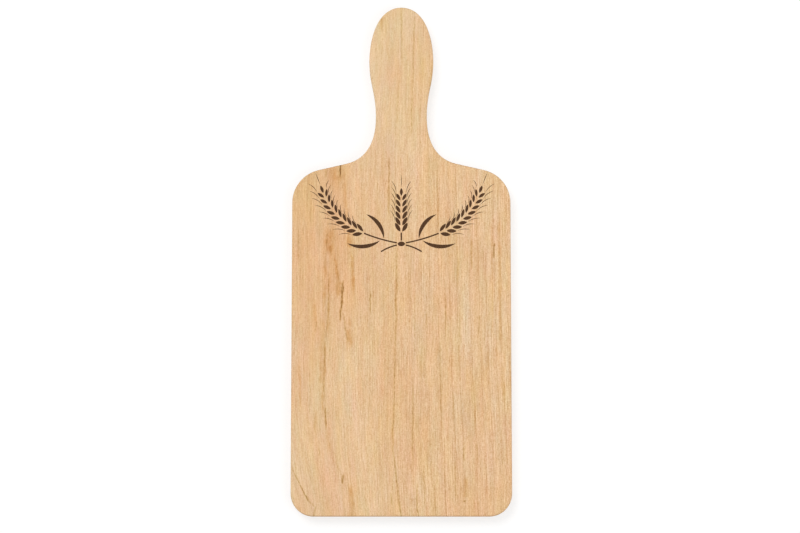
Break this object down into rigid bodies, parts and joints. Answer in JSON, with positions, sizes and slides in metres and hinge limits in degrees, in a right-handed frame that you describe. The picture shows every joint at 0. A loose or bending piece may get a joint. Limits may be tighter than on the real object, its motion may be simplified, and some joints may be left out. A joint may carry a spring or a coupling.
{
  "type": "spaetzle board",
  "caption": "Flat hardwood board with a bottle-shaped grip, sloping shoulders and a thinned front edge, for scraping dough into boiling water.",
  "frame": {"origin": "middle of the underside: centred across the board, half-way between the scraping edge and the tip of the grip, on the plane that the board rests on", "axes": "+X across the board, +Y from the scraping edge towards the tip of the grip, +Z out of the work face"},
  "size_m": [0.145, 0.34, 0.01],
  "materials": {
    "hardwood": "planed and finely sanded, bare, pale, with a fine straight grain along the board",
    "printed_ink": "one-colour dark brown print on the work face, matt"
  },
  "bodies": {
    "root": {"board": "hardwood"}
  },
  "joints": []
}
